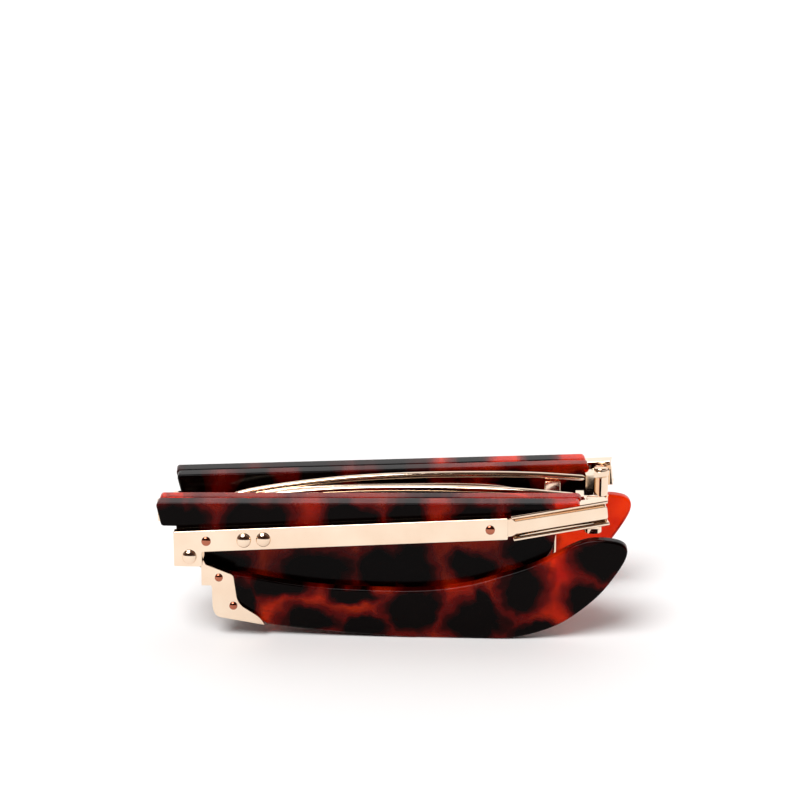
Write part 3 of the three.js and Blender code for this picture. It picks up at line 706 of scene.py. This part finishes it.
def plated_metal(name, pale, deep, smooth, rough):
    """Polished plating: cloudy colour, handling haze in its gloss, and a faint orange-peel ripple."""
    material, nodes, links, shader, place = material_base(name)
    shader.inputs["Metallic"].default_value = 1
    clouds = noise_on(nodes, links, place, 160, 3)
    links.new(ramp_on(nodes, links, clouds, [(0.3, deep), (0.7, pale)]), shader.inputs["Base Color"])
    haze = noise_on(nodes, links, place, 420, 5, 0.65)
    links.new(ramp_on(nodes, links, haze, [(0.35, smooth), (0.75, rough)]), shader.inputs["Roughness"])
    bump_on(nodes, links, shader, noise_on(nodes, links, place, 900), 0.12)
    return material


# The black blotches of each plastic piece, in the frame of its half: the place of the middle as x
# and z, then half the length and half the height.
BLOTCHES = {
    "right_temple_tip": [
        (-24, 5.5, 2, 3.4), (-29, 11.5, 4, 1.8), (-18.4, 8.4, 4.4, 1.9), (-12.8, 2.6, 4.2, 2.3),
        (-4.4, 1.4, 3.8, 1.9), (-6.4, 7.6, 3.6, 1.4), (3.4, 4.8, 4, 3.6), (14, 2.8, 4.6, 3.2),
        (14.6, 6, 1.8, 2.4), (21.1, 8.8, 3, 4), (33.6, 14, 4.4, 3.3), (31.8, 7.2, 3.8, 2.4),
        (25, 1.4, 6, 1.4),
    ],
    "right_temple_slab": [
        (-34, 19.4, 4.8, 2.7), (-21.5, 20.2, 5, 3.2), (-6.3, 20.6, 4, 2.6), (2.4, 21, 2.8, 2.2),
        (12.8, 20.8, 3.2, 2.3), (21.3, 22, 3.4, 1.6),
    ],
    "right_temple_liner": [
        (-27, 11.5, 4, 2.4), (-12, 10.7, 5.4, 3.4), (-1.8, 11.2, 3.8, 3.2), (3, 11.4, 3.6, 3.8),
        (13.3, 11.6, 3.6, 2.4), (22.7, 14.3, 4, 2.6), (-28, 18, 5, 3), (-13, 18.5, 6, 3), (6, 20, 5, 3),
        (20, 19, 4, 2.4),
    ],
    "left_temple_slab": [
        (-31, 20.5, 6.5, 4), (-16, 20.5, 7.5, 4), (-3, 20.5, 6, 4), (10.5, 20.5, 2.6, 4), (22, 20.5, 2.6, 4),
    ],
    "left_temple_liner": [
        (-36, 20, 4.4, 4), (-24, 19, 4.6, 5), (-13.8, 20, 3.6, 5), (-2, 19, 6, 5), (8, 17, 4, 4),
        (18, 18, 4.6, 4), (28.5, 19.4, 2.8, 1.8), (-20, 9, 4.5, 2.6), (-5, 9, 5, 2.6), (11, 9.6, 4.6, 2.6),
    ],
    "left_temple_tip": [
        (-25, 6, 2.6, 3.4), (-17, 6.4, 4, 2.6), (-7, 3.4, 4.6, 2.8), (4, 5.6, 4.4, 2.8), (15, 2.6, 4.6, 2.4),
        (20, 8.2, 3.4, 2.6),
    ],
}


def place_in_half(nodes, links, place, half):
    """Turns a place in the row frame into (x, 0, z) millimetres in the frame of one half."""
    along = nodes.new("ShaderNodeVectorMath")
    along.operation = "DOT_PRODUCT"
    links.new(place, along.inputs[0])
    along.inputs[1].default_value = half.along / MM
    shift = nodes.new("ShaderNodeMath")
    links.new(along.outputs["Value"], shift.inputs[0])
    shift.inputs[1].default_value = PIN_X - half.pin.dot(half.along) / MM
    upwards = nodes.new("ShaderNodeVectorMath")
    upwards.operation = "DOT_PRODUCT"
    links.new(place, upwards.inputs[0])
    upwards.inputs[1].default_value = (0, 0, 1 / MM)
    joined = nodes.new("ShaderNodeCombineXYZ")
    links.new(shift.outputs["Value"], joined.inputs["X"])
    links.new(upwards.outputs["Value"], joined.inputs["Z"])
    return joined.outputs["Vector"]


def warped(nodes, links, spot, scale, reach):
    """Moves the places about by up to half the reach, so that shapes drawn there get wavy edges."""
    noise = nodes.new("ShaderNodeTexNoise")
    noise.inputs["Scale"].default_value = scale
    noise.inputs["Detail"].default_value = 2
    links.new(spot, noise.inputs["Vector"])
    push = nodes.new("ShaderNodeVectorMath")
    push.operation = "MULTIPLY_ADD"
    links.new(noise.outputs["Color"], push.inputs[0])
    push.inputs[1].default_value = (reach, 0, reach)
    links.new(spot, push.inputs[2])
    centred = nodes.new("ShaderNodeVectorMath")
    centred.operation = "SUBTRACT"
    links.new(push.outputs["Vector"], centred.inputs[0])
    centred.inputs[1].default_value = (reach / 2, 0, reach / 2)
    return centred.outputs["Vector"]


def blotch_field(nodes, links, spot, blotches):
    """0 in the middle of a blotch, 1 on its edge, and more outside; neighbours melt together."""
    field = None
    for x, z, half_length, half_height in blotches:
        fitted = nodes.new("ShaderNodeMapping")
        fitted.vector_type = "TEXTURE"
        fitted.inputs["Location"].default_value = (x, 0, z)
        fitted.inputs["Scale"].default_value = (half_length, 1, half_height)
        links.new(spot, fitted.inputs["Vector"])
        distance = nodes.new("ShaderNodeVectorMath")
        distance.operation = "LENGTH"
        links.new(fitted.outputs["Vector"], distance.inputs[0])
        if field is None:
            field = distance.outputs["Value"]
            continue
        nearest = nodes.new("ShaderNodeMath")
        nearest.operation = "SMOOTH_MIN"
        links.new(field, nearest.inputs[0])
        links.new(distance.outputs["Value"], nearest.inputs[1])
        nearest.inputs[2].default_value = 0.2
        field = nearest.outputs["Value"]
    halved = nodes.new("ShaderNodeMath")
    halved.operation = "MULTIPLY"
    links.new(field, halved.inputs[0])
    halved.inputs[1].default_value = 0.5
    return halved.outputs["Value"]


def tortoise_plastic(half, node):
    """Red tortoise: black blotches with soft maroon edges that go through a clear red plastic."""
    material, nodes, links, shader, place = material_base(f"tortoise_{node}")
    spot = warped(nodes, links, place_in_half(nodes, links, place, half), 0.2, 5)
    spot = warped(nodes, links, spot, 0.8, 1)
    blotches = blotch_field(nodes, links, spot, BLOTCHES[node])
    tint = noise_on(nodes, links, place, 210)
    red = ramp_on(nodes, links, tint, [(0.3, (0.66, 0.012, 0.0006)), (0.7, (0.97, 0.05, 0.001))])
    stain = ramp_on(nodes, links, blotches, [
        (0.42, (0.0012, 0.0008, 0.0008)), (0.53, (0.03, 0.002, 0.001)), (0.66, (0.22, 0.05, 0.03)),
        (0.88, 1.0),
    ])
    mix = nodes.new("ShaderNodeMix")
    mix.data_type = "RGBA"
    mix.blend_type = "MULTIPLY"
    mix.inputs["Factor"].default_value = 1
    links.new(red, mix.inputs["A"])
    links.new(stain, mix.inputs["B"])
    links.new(mix.outputs["Result"], shader.inputs["Base Color"])
    clear = ramp_on(nodes, links, blotches, [(0.5, 0.0), (0.66, 0.6), (0.85, 0.75)])
    links.new(clear, shader.inputs["Transmission Weight"])
    satin = noise_on(nodes, links, place, 700, 4, 0.6)
    links.new(ramp_on(nodes, links, satin, [(0.3, 0.13), (0.75, 0.24)]), shader.inputs["Roughness"])
    shader.inputs["IOR"].default_value = 1.2
    shader.inputs["Specular IOR Level"].default_value = 0.3
    shader.inputs["Sheen Weight"].default_value = 0.06
    shader.inputs["Sheen Roughness"].default_value = 0.3
    shader.inputs["Sheen Tint"].default_value = (1, 0.6, 0.42, 1)
    bump_on(nodes, links, shader, noise_on(nodes, links, place, 1500, 3), 0.1)
    return material


def clear_lens():
    """Clear lens plastic with a faint cool tint, and the faintest smears in its gloss."""
    material, nodes, links, shader, place = material_base("lens")
    shader.inputs["Transmission Weight"].default_value = 1
    shader.inputs["IOR"].default_value = 1.5
    tint = noise_on(nodes, links, place, 60)
    links.new(
        ramp_on(nodes, links, tint, [(0.3, (0.97, 0.99, 1.0)), (0.7, (0.99, 1.0, 1.0))]),
        shader.inputs["Base Color"],
    )
    smears = noise_on(nodes, links, place, 140, 5, 0.6, 0.8)
    links.new(ramp_on(nodes, links, smears, [(0.55, 0.0), (0.85, 0.05)]), shader.inputs["Roughness"])
    return material


def soft_pad():
    """Clear silicone, a little cloudy, with a matt skin."""
    material, nodes, links, shader, place = material_base("nose_pad")
    shader.inputs["Transmission Weight"].default_value = 0.7
    shader.inputs["IOR"].default_value = 1.42
    clouds = noise_on(nodes, links, place, 300, 3)
    links.new(
        ramp_on(nodes, links, clouds, [(0.3, (0.88, 0.85, 0.8)), (0.7, (0.95, 0.93, 0.9))]),
        shader.inputs["Base Color"],
    )
    links.new(ramp_on(nodes, links, clouds, [(0.3, 0.28), (0.7, 0.4)]), shader.inputs["Roughness"])
    bump_on(nodes, links, shader, noise_on(nodes, links, place, 2000, 3), 0.15)
    return material


materials = {
    "gold": plated_metal("gold", (0.95, 0.78, 0.61), (0.9, 0.69, 0.52), 0.05, 0.14),
    "copper": plated_metal("copper", (0.5, 0.17, 0.1), (0.34, 0.1, 0.06), 0.08, 0.2),
    "lens": clear_lens(),
    "nose_pad": soft_pad(),
}

# ---------- pieces ----------
makers = {
    "rim": make_rim,
    "lens": make_lens,
    "brow_wire": make_brow_wire,
    "closing_block": make_closing_block,
    "closing_screw": make_closing_screw,
    "bridge_arm": make_bridge_arm,
    "bridge_pin": make_bridge_pin,
    "end_piece": make_end_piece,
    "hinge_screw": make_hinge_screw,
    "pad_arm": make_pad_arm,
    "nose_pad": make_nose_pad,
    "temple_liner": make_temple_liner,
    "temple_slab": make_temple_slab,
    "temple_bar": make_temple_bar,
    "hinge_channel": make_hinge_channel,
    "hinge_spring": make_hinge_spring,
    "temple_tip": make_temple_tip,
    "tip_bracket": make_tip_bracket,
}


def settle(piece, node):
    """Names and shades a finished piece, puts it on its CAD node's body, and gives it the material of that
    node's slot, or its own tortoise material.
    """
    piece.name = f"fine_{node}"
    piece.data.name = piece.name
    piece.data.materials.clear()
    piece.data.materials.append(materials[node if node in BLOTCHES else slot_of[node]])
    piece.data.shade_smooth()
    piece.data.set_sharp_from_angle(angle=math.radians(38))
    weighted = piece.modifiers.new("shading", "WEIGHTED_NORMAL")
    weighted.keep_sharp = True
    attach(piece, body_of[node])
    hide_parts(node)


def make_round_fasteners(half):
    on_bar = BAR_FACE + SEAT_GAP
    on_bracket = BRACKET_DEPTH + BRACKET_THICKNESS + SEAT_GAP
    made = {"pivot_screw": domed(half, PIVOT_SPOT, PIVOT_HEAD, 0.65, on_bar, 6, PIVOT_SHANK)}
    for name, (spot, radius, dome) in FASTENERS.items():
        made[name] = domed(half, spot, radius, dome, on_bar, 3.4, radius * 0.55)
    for name, spot in BRACKET_RIVETS.items():
        made[name] = domed(half, spot, 0.65, 0.34, on_bracket, 1.9, 0.36)
    return made


def make_bridge_link(halves):
    """A flat link with two round ends, one over each bridge pin."""
    pins = [half.pin / MM for half in halves]
    start, end = (Vector((pin.x, pin.y)) for pin in pins)
    way = (end - start).normalized()
    heading = math.atan2(way.y, way.x)
    outline, steps = [], 24
    for centre, first in ((end, heading - math.pi / 2), (start, heading + math.pi / 2)):
        for step in range(steps + 1):
            angle = first + math.pi * step / steps
            outline.append((centre.x + EYE_RADIUS * math.cos(angle), centre.y + EYE_RADIUS * math.sin(angle)))
    direct = RowFrame()
    link = prism(direct, outline, LINK_BOTTOM, LINK_TOP, 0.12, upright)
    holes = [upright_hole(direct, PIN_RADIUS, tuple(spot)) for spot in (start, end)]
    return carve(link, *holes)


halves = [Half(side) for side in SIDES]
for half in halves:
    for name in ("temple_tip", "temple_slab", "temple_liner"):
        materials[f"{half.side}_{name}"] = tortoise_plastic(half, f"{half.side}_{name}")
    for name, maker in makers.items():
        settle(maker(half), f"{half.side}_{name}")
    for name, piece in make_round_fasteners(half).items():
        settle(piece, f"{half.side}_{name}")
settle(make_bridge_link(halves), "bridge_link")


# ---------- floor, lights and camera ----------
def make_floor():
    just_below_the_feet = -0.02 * MM
    bpy.ops.mesh.primitive_plane_add(size=8, location=(0, 2, just_below_the_feet))
    floor = bpy.context.object
    floor.name = "floor"
    material, nodes, links, shader, place = material_base("floor")
    shade = noise_on(nodes, links, place, 3)
    links.new(ramp_on(nodes, links, shade, [(0.3, 0.86), (0.7, 0.88)]), shader.inputs["Base Color"])
    shader.inputs["Roughness"].default_value = 0.6
    shader.inputs["Specular IOR Level"].default_value = 0.2
    floor.data.materials.append(material)


def make_world():
    """Bright behind the object, and darker above the camera, so that polished metal has contrast."""
    world = bpy.data.worlds.new("studio")
    bpy.context.scene.world = world
    world.use_nodes = True
    nodes, links = world.node_tree.nodes, world.node_tree.links
    background = nodes["Background"]
    split = nodes.new("ShaderNodeSeparateXYZ")
    links.new(nodes.new("ShaderNodeTexCoord").outputs["Generated"], split.inputs["Vector"])
    spread = nodes.new("ShaderNodeMapRange")
    spread.inputs["From Min"].default_value = -1
    links.new(split.outputs["Y"], spread.inputs["Value"])
    shade = ramp_on(nodes, links, spread.outputs["Result"], [
        (0.08, (0.03, 0.014, 0.01)), (0.5, (0.12, 0.07, 0.055)), (0.66, 0.75), (0.8, 1.0),
    ])
    links.new(shade, background.inputs["Color"])
    background.inputs["Strength"].default_value = 1.15


def make_lights():
    sun_data = bpy.data.lights.new("soft_key", "SUN")
    sun_data.energy = 3.1
    sun_data.angle = math.radians(35)
    sun = bpy.data.objects.new("soft_key", sun_data)
    sun.rotation_euler = (math.radians(28), math.radians(-18), 0)
    bpy.context.scene.collection.objects.link(sun)


def make_camera():
    """A long lens, 21 degrees above the table; the object lies low in the picture."""
    elevation, azimuth, distance = math.radians(21), math.radians(0.7), 0.5
    raise_aim, side_aim = 0.02384, 0.00042
    target = (cad_box[0] + cad_box[1]) / 2
    level = math.cos(elevation)
    look = Vector((math.sin(azimuth) * level, math.cos(azimuth) * level, -math.sin(elevation)))
    right = look.cross(Vector((0, 0, 1))).normalized()
    up = right.cross(look)
    data = bpy.data.cameras.new("camera")
    data.lens = 138.4
    data.sensor_width = 36
    data.clip_start, data.clip_end = 0.01, 50
    camera = bpy.data.objects.new("camera", data)
    camera.location = target - look * distance
    aim = target + up * raise_aim + right * side_aim
    camera.rotation_mode = "QUATERNION"
    camera.rotation_quaternion = (aim - camera.location).to_track_quat("-Z", "Y")
    bpy.context.scene.collection.objects.link(camera)
    bpy.context.scene.camera = camera


make_floor()
make_world()
make_lights()
make_camera()
bpy.context.scene.view_settings.view_transform = "Standard"
